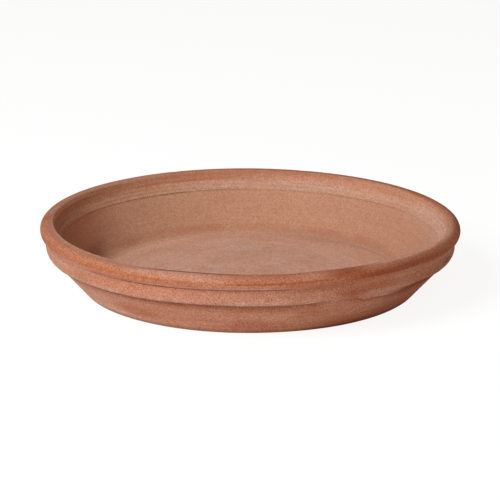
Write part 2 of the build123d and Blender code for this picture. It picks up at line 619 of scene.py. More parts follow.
def blended(tree, factor, first, second, blend="MIX"):
    """A colour mixed from two. A Mix node's colours are its sockets 6 and 7, and the result is output 2."""
    inputs = {0: factor, 6: first, 7: second}
    return new_node(tree, "ShaderNodeMix", inputs, data_type="RGBA", blend_type=blend).outputs[2]


def new_group(name, inputs, outputs):
    """An empty shader node group that takes a place and named values, with its inputs and its output node."""
    group = bpy.data.node_groups.new(name, "ShaderNodeTree")
    group.interface.new_socket("Place", in_out="INPUT", socket_type=VECTOR)
    for socket in inputs:
        group.interface.new_socket(socket, in_out="INPUT", socket_type=FLOAT)
    for socket, kind in outputs.items():
        group.interface.new_socket(socket, in_out="OUTPUT", socket_type=kind)
    return group, group.nodes.new("NodeGroupInput").outputs, group.nodes.new("NodeGroupOutput")


def put_out(group, result, values):
    """Link values to the named outputs of a group."""
    for socket, value in values.items():
        group.links.new(value, result.inputs[socket])


def turned_place_group():
    """Radius, height and direction round the axis, from a place on the saucer."""
    outputs = {"Radius": FLOAT, "Height": FLOAT, "Ring": VECTOR}
    group, given, result = new_group("Turned place", [], outputs)
    split = new_node(group, "ShaderNodeSeparateXYZ", {0: given["Place"]}).outputs
    flat = new_node(group, "ShaderNodeCombineXYZ", {"X": split["X"], "Y": split["Y"]}).outputs[0]
    radius = vectors(group, "LENGTH", {0: flat})["Value"]
    ring = vectors(group, "NORMALIZE", {0: flat})["Vector"]
    put_out(group, result, {"Radius": radius, "Height": split["Z"], "Ring": ring})
    return group


def wheel_marks_group(turned_place):
    """Streaks that run round the saucer, as the wheel and the tools left them."""
    group, given, result = new_group("Wheel marks", ["Spacing", "Sweep"], {"Marks": FLOAT})
    place = new_node(group, "ShaderNodeGroup", node_tree=turned_place)
    group.links.new(given["Place"], place.inputs["Place"])
    along = sums(group, "ADD", place.outputs["Radius"], place.outputs["Height"])
    rows = sums(group, "DIVIDE", along, given["Spacing"])
    ring = vectors(group, "SCALE", {0: place.outputs["Ring"], "Scale": given["Sweep"]})[0]
    stack = new_node(group, "ShaderNodeCombineXYZ", {"Z": rows}).outputs[0]
    spot = vectors(group, "ADD", {0: ring, 1: stack})[0]
    pattern = {"Vector": spot, "Scale": 1.0, "Detail": 3.0, "Roughness": 0.6}
    streaks = new_node(group, "ShaderNodeTexNoise", pattern)
    put_out(group, result, {"Marks": streaks.outputs["Fac"]})
    return group


def clay_grain_group():
    """Fine grain of the fired clay, with soft mottling and sparse grit."""
    outputs = dict.fromkeys(("Tone", "Mottle", "Grit", "Height"), FLOAT)
    group, given, result = new_group("Clay grain", ["Grain Size"], outputs)
    place = given["Place"]
    rate = sums(group, "DIVIDE", 1.0, given["Grain Size"])
    pattern = {"Vector": place, "Scale": rate, "Detail": 4.0, "Roughness": 0.72}
    fine = new_node(group, "ShaderNodeTexNoise", pattern).outputs["Fac"]
    pattern = {"Vector": place, "Scale": sums(group, "MULTIPLY", rate, 0.24), "Detail": 2.0}
    soft = new_node(group, "ShaderNodeTexNoise", pattern).outputs["Fac"]
    pattern = {"Vector": place, "Scale": sums(group, "MULTIPLY", rate, 0.34)}
    cells = new_node(group, "ShaderNodeTexVoronoi", pattern).outputs
    chosen = new_node(group, "ShaderNodeSeparateColor", {0: cells["Color"]})
    seldom = ranged(group, chosen.outputs[0], 0.72, 0.9)
    close = ranged(group, cells["Distance"], 0.34, 0.12)
    grit = sums(group, "MULTIPLY", seldom, close)
    height = sums(group, "SUBTRACT", fine, grit)
    put_out(group, result, {"Tone": fine, "Mottle": soft, "Grit": grit, "Height": height})
    return group


def bloom_group():
    """Cloudy patches, as lime leaves them when the clay dries."""
    group, given, result = new_group("Lime bloom", ["Patch Size", "Cover"], {"Mask": FLOAT})
    rate = sums(group, "DIVIDE", 1.0, given["Patch Size"])
    pattern = {"Vector": given["Place"], "Scale": rate, "Detail": 5.0, "Roughness": 0.62, "Distortion": 0.5}
    clouds = new_node(group, "ShaderNodeTexNoise", pattern).outputs["Fac"]
    edge = sums(group, "SUBTRACT", 1.0, given["Cover"])
    put_out(group, result, {"Mask": ranged(group, clouds, edge, sums(group, "ADD", edge, 0.35))})
    return group


def iron_band_group(wheel_marks):
    """A streaky band of iron at a height."""
    inputs = ["Level", "Spread", "Spacing", "Sweep", "Cover"]
    group, given, result = new_group("Iron band", inputs, {"Mask": FLOAT})
    split = new_node(group, "ShaderNodeSeparateXYZ", {0: given["Place"]})
    above = sums(group, "SUBTRACT", split.outputs["Z"], given["Level"])
    off = sums(group, "DIVIDE", above, given["Spread"])
    near = sums(group, "EXPONENT", sums(group, "MULTIPLY", sums(group, "MULTIPLY", off, off), -1.0))
    streaks = new_node(group, "ShaderNodeGroup", node_tree=wheel_marks)
    for socket in ("Place", "Spacing", "Sweep"):
        group.links.new(given[socket], streaks.inputs[socket])
    edge = sums(group, "SUBTRACT", 1.0, given["Cover"])
    shown = ranged(group, streaks.outputs["Marks"], edge, sums(group, "ADD", edge, 0.3))
    put_out(group, result, {"Mask": sums(group, "MULTIPLY", near, shown)})
    return group


class ClayMaterial:
    """A fired-clay material in the making: a colour that gets layers, and a shared surface.

    Its layers are placed by the radius, by the level above the base of the piece, and by how far across
    to the right and how deep to the back a place is.
    """

    groups = {}

    def __init__(self, name, clay_colour, base_level, grain_size):
        self.material = bpy.data.materials.new(name)
        self.material.use_nodes = True
        self.tree = self.material.node_tree
        self.tree.nodes.clear()
        self.place = new_node(self.tree, "ShaderNodeTexCoord").outputs["Object"]
        self.base_level = base_level
        turned = self.effect("Turned place")
        side = new_node(self.tree, "ShaderNodeSeparateXYZ", {0: self.place}).outputs
        self.radius = turned["Radius"]
        self.level = sums(self.tree, "SUBTRACT", turned["Height"], base_level)
        self.across, self.depth = side["X"], side["Y"]
        self.grain = self.effect("Clay grain", {"Grain Size": grain_size})
        self.colour = (*clay_colour, 1.0)

    def effect(self, group_name, values=None):
        """The outputs of one of the shared effects, at this place on the clay."""
        made = new_node(self.tree, "ShaderNodeGroup", values, node_tree=self.groups[group_name])
        self.tree.links.new(self.place, made.inputs["Place"])
        return made.outputs

    def times(self, *masks):
        """The product of masks."""
        product = masks[0]
        for mask in masks[1:]:
            product = sums(self.tree, "MULTIPLY", product, mask)
        return product

    def window(self, value, *ends):
        """Fade in over the first two ends of a value and, where there are four, out over the last two."""
        mask = ranged(self.tree, value, ends[0], ends[1])
        if len(ends) == 4:
            mask = self.times(mask, ranged(self.tree, value, ends[3], ends[2]))
        return mask

    def where(self, **limits):
        """A mask by windows on the radius, level, across or depth of a place."""
        return self.times(*(self.window(getattr(self, name), *ends) for name, ends in limits.items()))

    def lay(self, colour, strength, *masks, **limits):
        """Lay a colour over what is there, where all the masks and the windows let it."""
        if limits:
            masks = (*masks, self.where(**limits))
        factor = sums(self.tree, "MULTIPLY", self.times(*masks), strength, clamp=True)
        self.colour = blended(self.tree, factor, self.colour, (*colour, 1.0))

    def patch(self, degrees, radius, level, reach, breadth):
        """A soft mask about a place at a turn, with a reach round the saucer and a breadth up it."""
        turn = math.radians(degrees)
        middle = (radius * math.sin(turn), -radius * math.cos(turn), self.base_level + level)
        inputs = {
            "Vector": self.place,
            "Location": middle,
            "Rotation": (0, 0, turn),
            "Scale": (reach, reach, breadth),
        }
        nearby = new_node(self.tree, "ShaderNodeMapping", inputs, vector_type="TEXTURE").outputs[0]
        return ranged(self.tree, vectors(self.tree, "LENGTH", {0: nearby})["Value"], 1.0, 0.1)

    def clouds(self, size, cover):
        """Cloudy patches of a size, which cover part of the clay."""
        return self.effect("Lime bloom", {"Patch Size": size, "Cover": cover})["Mask"]

    def marks(self, spacing, sweep):
        """Streaks round the saucer at a spacing, more broken with a larger sweep."""
        return self.effect("Wheel marks", {"Spacing": spacing, "Sweep": sweep})["Marks"]

    def streaks(self, level, spread, spacing, sweep, cover):
        """A streaky belt of iron round the saucer at a level."""
        height = self.base_level + level
        values = {"Level": height, "Spread": spread, "Spacing": spacing, "Sweep": sweep, "Cover": cover}
        return self.effect("Iron band", values)["Mask"]

    def shade(self, value, depth):
        """Darken and lighten what is there by a value."""
        channels = {}
        for number, part in enumerate(CHALK_SHARES):
            channels[number] = ranged(self.tree, value, 0.25, 0.75, 1 - part * depth, 1 + part * depth)
        tint = new_node(self.tree, "ShaderNodeCombineColor", channels)
        self.colour = blended(self.tree, 1.0, self.colour, tint.outputs[0], "MULTIPLY")

    def finish(self, colours, grain, ridge_spacing, ridge_shade, ridge_bump, smoothed=0.0):
        """Add grit, painted crease shade with a little dirt, grain and the matt surface, and return the
        material.

        The grain shows less where the clay was smoothed.
        """
        tree, tone = self.tree, self.grain["Tone"]
        ridges = self.marks(ridge_spacing, 2.0)
        self.shade(ridges, ridge_shade)
        shown = ranged(tree, smoothed, 0.0, 1.0, 1.0, 0.68)
        speckle = sums(tree, "MULTIPLY", sums(tree, "SUBTRACT", tone, 0.5), shown)
        self.shade(sums(tree, "ADD", speckle, 0.5), grain)
        self.shade(self.grain["Mottle"], 0.12 * grain)
        self.lay(colours.grit_and_shade_dark, 0.10, self.grain["Grit"])
        # Painted shade with a little dirt, laid by how deep in a crease a point lies
        crease_shade = new_node(tree, "ShaderNodeAttribute", attribute_name="crease", attribute_type="GEOMETRY")
        specks = ranged(tree, tone, 0.3, 0.7, 1.15, 0.7)
        self.lay(colours.crease_shade_dark, 0.9, crease_shade.outputs["Fac"], specks)
        relief = {"Strength": 0.35, "Distance": GRAIN_RELIEF, "Height": self.grain["Height"]}
        normal = new_node(tree, "ShaderNodeBump", relief).outputs["Normal"]
        relief = {"Strength": ridge_bump, "Distance": RIDGE_RELIEF, "Height": ridges, "Normal": normal}
        normal = new_node(tree, "ShaderNodeBump", relief).outputs["Normal"]
        inputs = {
            "Base Color": self.colour,
            "Roughness": ranged(tree, tone, 0.2, 0.8, 0.97, 0.82),
            "Specular IOR Level": 0.25,
            "Normal": normal,
        }
        surface = new_node(tree, "ShaderNodeBsdfPrincipled", inputs)
        new_node(tree, "ShaderNodeOutputMaterial", {"Surface": surface.outputs[0]})
        return self.material


def shared_effects():
    """Build the shared effects once."""
    if ClayMaterial.groups:
        return
    turned_place = turned_place_group()
    wheel_marks = wheel_marks_group(turned_place)
    made = (turned_place, wheel_marks, clay_grain_group(), bloom_group(), iron_band_group(wheel_marks))
    ClayMaterial.groups.update({group.name: group for group in made})


def beyond(start, *steps):
    """Places at steps beyond a start."""
    return [start + step for step in steps]


def roll_outside(clay, colours):
    """Bloom, painted light low on the roll, and belts of iron on the outside of the roll."""
    pale, orange, brown = colours.bloom_and_light_pale, colours.iron_and_shade_orange, colours.iron_and_shade_brown
    low = (0.0044, 0.0024)
    clay.lay(pale, 0.3, clay.clouds(0.03, 0.5))
    # Pale low on the roll: bloom and painted light, as if light thrown up from the floor fell on the roll's
    # lower half
    clay.lay(pale, 0.55, clay.clouds(0.02, 0.72), level=(0.0052, 0.0032), across=(-0.05, -0.02, 0.03, 0.055))
    clay.lay(pale, 0.32, level=low, across=(-0.090, -0.060, -0.045, -0.015))
    clay.lay(pale, 0.40, level=low, across=(-0.105, -0.125))
    clay.lay(colours.shade_brown, 0.35, level=(0.0048, 0.0064), across=(-0.06, -0.10))
    clay.lay(pale, 0.25, level=(0.0068, 0.0084), across=(-0.100, -0.070, -0.040, -0.010))
    clay.lay(orange, 0.50, level=(0.0015, 0.0027, 0.0056, 0.0068), across=(0.005, 0.03, 0.090, 0.115))

    # Left of the front
    belt = clay.streaks(level=0.0065, spread=0.0020, spacing=0.0022, sweep=1.2, cover=0.92)
    clay.lay(orange, 0.65, belt, clay.clouds(0.03, 0.85), across=(-0.015, -0.060))

    # In front, where a dark streak climbs to the right under an orange crust
    rising = sums(clay.tree, "ADD", clay.level, sums(clay.tree, "MULTIPLY", clay.across, -0.01))
    streak = clay.window(rising, 0.0053, 0.0073, 0.0063, 0.0083)
    clay.lay(brown, 0.95, streak, clay.clouds(0.012, 0.97), across=(-0.03, 0.0, 0.045, 0.065))
    clay.lay(orange, 0.5, clay.clouds(0.02, 0.7), level=(0.0061, 0.0086), across=(-0.03, 0.0, 0.02, 0.05))


def roll_right(clay, sizes, colours):
    """The iron on the right of the roll, darker and thicker there, with painted shade on the roll's shaded
    right side.
    """
    orange, brown = colours.iron_and_shade_orange, colours.iron_and_shade_brown
    flash = clay.patch(26, sizes.rim_radius - 0.004, 0.0100, 0.027, 0.0052)
    clay.lay(brown, 0.85, flash, clay.clouds(0.010, 1.0))
    clay.lay(orange, 0.45, level=(0.0044, 0.0064, 0.0086, 0.0106), across=(0.050, 0.074, 0.083, 0.107))
    belt = clay.streaks(level=0.0069, spread=0.0030, spacing=0.0030, sweep=2.0, cover=0.95)
    belt_ends = (0.064, 0.083, 0.126, 0.144)
    clay.lay(brown, 0.82, belt, clay.clouds(0.012, 0.95), level=(0.0046, 0.0056), across=belt_ends)
    far_right = (0.112, 0.130, 0.149, 0.1535)
    low_belt = clay.streaks(level=0.0053, spread=0.0018, spacing=0.0030, sweep=2.0, cover=0.95)
    clay.lay(orange, 0.95, low_belt, across=far_right)
    clay.lay(orange, 0.50, level=(0.0068, 0.0086), across=far_right)


def rim_crown(clay, sizes, colours):
    """The top of the rim: its inner edge, with painted highlights on the left and the right and painted shade
    in front, and the iron and painted shade on its outer edge.
    """
    pale, orange, brown = colours.bloom_and_light_pale, colours.iron_and_shade_orange, colours.iron_and_shade_brown
    lip, outer = sizes.lip_radius, sizes.rim_radius
    crown = beyond(sizes.height - sizes.collar_top, -0.0030, -0.0010)
    arris = beyond(lip, 0.0003, 0.0017, 0.0021, 0.0035)
    left_edge = beyond(lip, 0.0002, 0.0022, 0.0034, 0.0054)
    worn_and_lit_edge = beyond(lip, 0.0002, 0.0018, 0.0044, 0.0060)
    shaded_edge = beyond(lip, 0.0002, 0.0014, 0.0028, 0.0040)
    scratch = beyond(lip, 0.0017, 0.0027, 0.0021, 0.0031)
    shaded_front = {"across": (-0.090, -0.060, -0.025, 0.005), "depth": (-0.09, -0.11)}
    # Painted highlights on the inner edge on the left, in front on the left and on the worn stretch on the
    # right; painted shade along it in front
    clay.lay(pale, 0.20, radius=left_edge, level=crown, across=(-0.05, -0.10))
    clay.lay(pale, 0.6, radius=arris, level=crown, across=(0.0, -0.04), depth=(-0.02, -0.06))
    clay.lay(pale, 0.5, radius=worn_and_lit_edge, level=crown, across=(0.076, 0.096), depth=(0.03, -0.02))
    clay.lay(colours.crease_shade_dark, 0.85, radius=shaded_edge, level=crown, **shaded_front)
    clay.lay(orange, 0.5, radius=arris, level=crown, across=(-0.11, -0.05), depth=(0.02, 0.10))
    clay.lay(brown, 0.5, clay.patch(-90, outer - 0.004, 0.0113, 0.014, 0.0040))
    clay.lay(brown, 0.5, radius=scratch, level=crown, across=(-0.06, -0.10), depth=(0.06, 0.02))

    shoulder = beyond(outer, -0.0080, -0.0045)
    back_edge = beyond(outer, -0.0054, -0.0042)
    clay.lay(brown, 0.5, radius=back_edge, across=(0.02, -0.03), depth=(0.03, 0.07))
    clay.lay(orange, 0.15, radius=shoulder, across=(-0.09, -0.12))
    # Painted shade on the outer edge at the back right, which turns away from the lamps
    clay.lay(brown, 0.9, radius=shoulder, across=(-0.03, 0.09), depth=(-0.05, 0.0))
    pink = beyond(outer, -0.0078, -0.0062, -0.0038, -0.0022)
    clay.lay(colours.under_pink, 0.45, radius=pink, level=crown, across=(0.125, 0.140))


def rim_inside(clay, sizes, colours):
    """The warm inner lip with its fine lines and the pale slope below it. Returns where the inside is."""
    pale, brown = colours.bloom_and_light_pale, colours.shade_brown
    inside = clay.where(radius=beyond(sizes.lip_radius, 0.0022, 0.0004))
    clay.lay(colours.lip_tan, 1.0, inside)
    lines = clay.window(clay.marks(0.0020, 1.2), 0.50, 0.66)
    clay.lay(brown, 0.4, inside, lines, ranged(clay.tree, clay.across, 0.03, -0.04, 0.3, 1.0))
    clay.lay(pale, 0.18, inside, level=(0.0098, 0.0086), across=(-0.03, 0.03, 0.10, 0.13))
    clay.lay(colours.iron_and_shade_orange, 0.30, inside, level=(0.0082, 0.0096), across=(-0.135, -0.120))

    # The slope's upper edge drifts up and down
    drift = ranged(clay.tree, clay.marks(0.02, 3.0), 0.3, 0.7, -0.0014, 0.0014)
    drifting = sums(clay.tree, "ADD", clay.level, drift)
    slope = clay.window(drifting, *beyond(sizes.lip_foot - sizes.collar_top, 0.0008, -0.0016))
    left_share = ranged(clay.tree, clay.across, -0.080, -0.015, 0.35, 1.0)
    right_share = ranged(clay.tree, clay.across, 0.050, 0.090, 1.0, 0.42)
    clay.lay(colours.band_pale, 0.62, inside, slope, left_share, right_share)
    clay.lay(pale, 0.5, inside, level=(0.0086, 0.0056), across=(0.118, 0.132))
    clay.lay(pale, 0.30, inside, level=(0.0056, 0.0076), across=(-0.150, -0.135, -0.090, -0.050))

    # The far left gets painted shade, with dark and pale arcs
    far_left = clay.where(level=(0.0086, 0.0071), across=(-0.090, -0.128))
    clay.lay(brown, 0.2, inside, far_left)
    clay.lay(brown, 0.5, inside, far_left, across=(-0.118, -0.132))
    arcs = clay.marks(0.0013, 1.6)
    clay.lay(colours.crease_shade_dark, 0.30, inside, clay.window(arcs, 0.53, 0.63), across=(-0.105, -0.122))
    clay.lay(pale, 0.14, inside, clay.window(arcs, 0.46, 0.38), across=(-0.105, -0.122))
    return inside


def rim_clay(sizes, colours):
    """Rolled rim with belts of iron outside, and a warm lip with a pale slope below it inside."""
    clay = ClayMaterial("Rim clay", colours.rim_pink, sizes.collar_top, grain_size=0.0011)
    roll_outside(clay, colours)
    roll_right(clay, sizes, colours)
    rim_crown(clay, sizes, colours)
    inside = rim_inside(clay, sizes, colours)
    return clay.finish(
        colours, grain=0.53, ridge_spacing=0.0020, ridge_shade=0.12, ridge_bump=0.25, smoothed=inside
    )


def collar_clay(sizes, colours):
    """Chalky pink collar, palest on its belly, with warm clouds, a smear of iron, and painted shade and a
    painted highlight on its lower edge at the right front.
    """
    clay = ClayMaterial("Collar clay", colours.collar_pink, sizes.shoulder_height, grain_size=0.0010)
    pale, orange, brown = colours.bloom_and_light_pale, colours.iron_and_shade_orange, colours.iron_and_shade_brown
    clay.lay(orange, 0.25, clay.clouds(0.05, 0.42))
    right_share = ranged(clay.tree, clay.across, 0.045, 0.075, 1.0, 0.4)
    clay.lay(pale, 0.55, right_share, clay.clouds(0.022, 0.70), level=(0.0050, 0.0015))
    clay.lay(pale, 0.18, clay.clouds(0.03, 0.7), across=(-0.035, -0.005, 0.055, 0.085))
    clay.lay(pale, 0.10, across=(-0.105, -0.130))
    clay.lay(pale, 0.2, level=(0.0080, 0.0096), across=(-0.100, -0.118))
    clay.lay(pale, 0.1, level=(0.0096, 0.0114), across=(0.065, 0.090))

    # Warm clouds on the left, and on the right, the shaded side, orange that is partly iron and partly
    # painted shade
    clay.lay(orange, 0.30, level=(0.0015, 0.0045, 0.0077, 0.0107), across=(-0.135, -0.120, -0.085, -0.055))
    clay.lay(orange, 0.5, level=(0.0043, 0.0073), across=(0.045, 0.070, 0.090, 0.110))
    clay.lay(orange, 0.20, across=(0.105, 0.125))
    clay.lay(orange, 0.5, level=(0.0073, 0.0048), across=(0.105, 0.125))
    clay.lay(brown, 0.7, clay.patch(70, sizes.collar_radius, 0.0056, 0.014, 0.0030))
    clay.lay(orange, 0.3, level=(0.0058, 0.0074, 0.0092, 0.0108), across=(0.063, 0.087, 0.108, 0.132))
    clay.lay(orange, 0.40, level=(0.0086, 0.0106), across=(0.008, 0.032, 0.053, 0.077))
    smear = clay.patch(28, sizes.collar_radius, 0.0046, 0.020, 0.006)
    clay.lay(brown, 0.55, smear, clay.clouds(0.008, 0.85))

    # The lower edge: painted shade at the right front, a painted highlight on the burr beside the step, and a
    # pale chip
    clay.lay(brown, 0.9, clay.patch(51, sizes.collar_lip, 0.0, 0.044, 0.0036))
    clay.lay(pale, 0.6, clay.patch(39, sizes.collar_lip, -0.0004, 0.011, 0.0013))
    clay.lay(pale, 0.7, clay.patch(-40.5, sizes.collar_lip, 0.0012, 0.006, 0.0014))
    return clay.finish(colours, grain=0.55, ridge_spacing=0.0024, ridge_shade=0.10, ridge_bump=0.25)


def outer_wall_clay(sizes, colours):
    """Pink outer wall with orange patches towards the foot, and on the right, the shaded side, more iron and
    painted shade.
    """
    clay = ClayMaterial("Outer wall clay", colours.wall_pink, 0.0, grain_size=0.0010)
    pale, orange, brown = colours.bloom_and_light_pale, colours.iron_and_shade_orange, colours.iron_and_shade_brown
    lower_part = (0.5 * sizes.shoulder_height, 0.1 * sizes.shoulder_height)
    clay.lay(pale, 0.45, clay.clouds(0.035, 0.55))
    clay.lay(orange, 0.45, clay.clouds(0.05, 0.46))
    # The left, lit side of the wall is paler: bloom and painted light
    clay.lay(pale, 0.4, level=lower_part, across=(-0.02, -0.09))
    clay.lay(pale, 0.35, level=(0.021, 0.017), across=(-0.080, -0.110))
    # On the right, the shaded side, more orange and browner: iron and painted shade
    clay.lay(orange, 0.78, across=(0.07, 0.125))
    belt = clay.where(level=(0.0105, 0.0155, 0.0170, 0.0220))
    off_belt = ranged(clay.tree, belt, 0.0, 1.0, 1.0, 0.0)
    clay.lay(brown, 0.25, off_belt, across=(0.070, 0.105))

    # Orange patches: turn in degrees, level, reach, breadth and strength
    patches = (
        (-37, 0.0110, 0.032, 0.0080, 0.60),
        (0, 0.0085, 0.030, 0.0085, 0.50),
        (19, 0.0180, 0.024, 0.0085, 0.40),
        (33, 0.0250, 0.026, 0.0045, 0.60),
    )
    for degrees, level, reach, breadth, strength in patches:
        patch = clay.patch(degrees, sizes.foot_radius + sizes.slope * level, level, reach, breadth)
        clay.lay(orange, strength, patch, clay.clouds(0.02, 0.85))

    # Painted shadow under the collar: browner and more orange on the wall below it, darkest at the right
    # front
    clay.lay(brown, 0.12, clay.clouds(0.02, 0.9), level=(0.0195, 0.0228), across=(-0.040, 0.0, 0.025, 0.060))
    clay.lay(orange, 0.30, level=(0.0190, 0.0220), across=(-0.080, -0.040, -0.005, 0.035))
    clay.lay(brown, 0.85, clay.patch(54, sizes.shoulder_radius, 0.0250, 0.050, 0.0095))

    # Towards the foot on the right: some iron, and painted shade where the saucer meets the floor, darkest in
    # a band at the foot
    clay.lay(orange, 0.45, level=(0.0140, 0.0090), across=(0.035, 0.065))
    clay.lay(orange, 0.5, level=(0.0045, 0.0020), across=(-0.015, 0.015))
    clay.lay(brown, 0.75, level=(0.0085, 0.0030), across=(0.03, 0.075))
    clay.lay(colours.grit_and_shade_dark, 0.95, level=(0.0031, 0.0014), across=(0.02, 0.06))
    clay.lay(colours.crease_shade_dark, 0.6, level=(0.0055, 0.0030), across=(0.065, 0.09))
    return clay.finish(colours, grain=0.57, ridge_spacing=0.0026, ridge_shade=0.10, ridge_bump=0.25)


def inner_wall_clay(sizes, colours):
    """Smooth tan inner wall with painted shade on the far left and in the corner by the floor there, and a
    broken stain where water stood at the back.
    """
    clay = ClayMaterial("Inner wall clay", colours.inside_tan, sizes.floor_height, grain_size=0.0010)
    clay.lay(colours.bloom_and_light_pale, 0.15, clay.clouds(0.06, 0.5))
    clay.lay(colours.under_pink, 0.5, clay.clouds(0.04, 0.6), across=(0.02, -0.10))
    # Painted shade on the far left of the inside
    clay.lay(colours.shade_brown, 0.95, across=(-0.096, -0.134))
    clay.lay(colours.under_pink, 0.35, across=(0.03, 0.10))
    clay.lay(colours.bloom_and_light_pale, 0.25, level=(0.0184, 0.0284), across=(0.112, 0.130))
    stain = clay.streaks(level=0.0038, spread=0.0022, spacing=0.0030, sweep=2.0, cover=0.85)
    clay.lay(colours.iron_and_shade_orange, 0.38, stain, clay.clouds(0.04, 0.72), depth=(0.03, 0.08))
    # Painted shade in the corner where the wall meets the floor on the left
    clay.lay(colours.crease_shade_dark, 0.7, level=(0.0164, 0.0054), across=(-0.106, -0.121))
    clay.lay(colours.floor_pale, 0.6, level=(0.0016, 0.0002))
    return clay.finish(colours, grain=0.33, ridge_spacing=0.0030, ridge_shade=0.04, ridge_bump=0.10)


def floor_clay(sizes, colours):
    """Pale pink floor with the faint broken arcs that the wheel left."""
    clay = ClayMaterial("Floor clay", colours.floor_pale, sizes.floor_height, grain_size=0.0010)
    arcs = clay.window(clay.marks(0.012, 3.5), 0.45, 0.62)
    clay.lay(colours.bloom_and_light_pale, 0.65, arcs, clay.clouds(0.05, 0.75))
    clay.shade(clay.marks(0.014, 2.5), 0.10)
    clay.lay(colours.under_pink, 1.0, level=(-0.001, -0.002))
    return clay.finish(colours, grain=0.38, ridge_spacing=0.0034, ridge_shade=0.05, ridge_bump=0.08)


class SAUCER_OT_floor(bpy.types.Operator):
    """Turn the floor slab"""

    bl_idname = "saucer.floor"
    bl_label = "Floor slab"
    bl_options = {"REGISTER", "UNDO"}

    def execute(self, context):
        sizes = section_sizes(context.scene)
        corners = [
            (0, sizes.foot_recess, 0),
            (sizes.slab_radius, sizes.foot_recess, 0),
            (sizes.slab_radius, sizes.ledge_height, 0),
            (sizes.floor_radius, sizes.ledge_height, 0),
            (sizes.floor_radius, sizes.floor_height, 0),
            (0, sizes.floor_height, 0),
        ]
        creases = [
            (sizes.slab_radius, sizes.foot_recess, SEAM_DUST_AND_SHADE, slab_seam),
            (sizes.floor_radius, sizes.floor_height, FLOOR_DARKENING, floor_edge),
        ]
        nicked = (sizes.floor_height - FLOOR_FACE_DEPTH, sizes.height)
        solid = fired_solid(context, corners, creases, nicked, step_share=1.3)
        materials = [floor_clay(sizes, context.scene.saucer_colours)]
        finished_piece("clay_floor", solid, "floor_slab", materials)
        return {"FINISHED"}


class SAUCER_OT_wall(bpy.types.Operator):
    """Turn the flared side wall with its foot ring"""

    bl_idname = "saucer.wall"
    bl_label = "Side wall"
    bl_options = {"REGISTER", "UNDO"}

    def execute(self, context):
        sizes, colours = section_sizes(context.scene), context.scene.saucer_colours
        cut_radius = sizes.shoulder_radius - sizes.slope * sizes.undercut_height
        cut_foot = sizes.shoulder_height - sizes.undercut_height
        cut_back = sizes.shoulder_height - 0.45 * sizes.undercut_height
        corners = [
            (sizes.floor_radius, sizes.floor_height, 0),
            (sizes.floor_radius, sizes.ledge_height, 0),
            (sizes.slab_radius, sizes.ledge_height, 0),
            (sizes.slab_radius, 0, sizes.foot_edge),
            (sizes.foot_radius, 0, sizes.foot_edge),
            (cut_radius, cut_foot, 0.3 * sizes.undercut_depth),
            (cut_radius - 0.2 * sizes.undercut_depth, cut_back, 0),
            (sizes.shoulder_radius - sizes.undercut_depth, sizes.shoulder_height, 0),
            (sizes.seat_radius, sizes.shoulder_height, 0),
            (sizes.seat_radius, sizes.line_height, 0),
            (sizes.line_radius, sizes.line_height, sizes.line_depth),
            (sizes.cone_foot, sizes.floor_height, 0.99 * (sizes.cone_foot - sizes.floor_radius)),
        ]
        creases = [
            (sizes.line_radius, sizes.line_height, LINE_DARKENING, scored_line),
            (sizes.shoulder_radius, sizes.shoulder_height, CUT_SHADE, collar_crease),
            (sizes.shoulder_radius, sizes.shoulder_height, CUT_SHADOW, collar_shadow),
            (sizes.floor_radius, sizes.floor_height, FLOOR_DARKENING, floor_edge),
        ]
        nicked = (FOOT_BELOW_NICKS, sizes.shoulder_height)
        solid = fired_solid(context, corners, creases, nicked, step_share=1.0)
        # The second material is for the faces inside the middle of the wall
        middle = (sizes.foot_radius + sizes.inner_foot) / 2
        for face in solid.faces:
            centre = face.calc_center_median()
            face.material_index = int(math.hypot(centre.x, centre.y) - sizes.slope * centre.z < middle)
        materials = [outer_wall_clay(sizes, colours), inner_wall_clay(sizes, colours)]
        finished_piece("clay_wall", solid, "side_wall", materials)
        return {"FINISHED"}


class SAUCER_OT_collar(bpy.types.Operator):
    """Turn the collar band"""

    bl_idname = "saucer.collar"
    bl_label = "Collar band"
    bl_options = {"REGISTER", "UNDO"}

    def execute(self, context):
        sizes = section_sizes(context.scene)
        belly_middle = sizes.shoulder_height + 0.5 * sizes.belly_height
        corners = [
            (sizes.collar_lip, sizes.shoulder_height, sizes.collar_lip_edge),
            (sizes.seat_radius, sizes.shoulder_height, 0),
            (sizes.seat_radius, sizes.collar_top, 0),
            (sizes.collar_radius, sizes.collar_top, sizes.collar_edge),
            (sizes.collar_radius, belly_middle, 0.48 * sizes.belly_height),
        ]
        creases = [
            (sizes.collar_lip, sizes.shoulder_height, SEAM_DUST_AND_SHADE, collar_crease),
            *under_roll(sizes.collar_radius - 1.6 * sizes.collar_edge, sizes),
        ]
        nicked = (sizes.shoulder_height, sizes.collar_top)
        solid = fired_solid(context, corners, creases, nicked, step_share=0.6)
        materials = [collar_clay(sizes, context.scene.saucer_colours)]
        finished_piece("clay_collar", solid, "collar_band", materials)
        return {"FINISHED"}


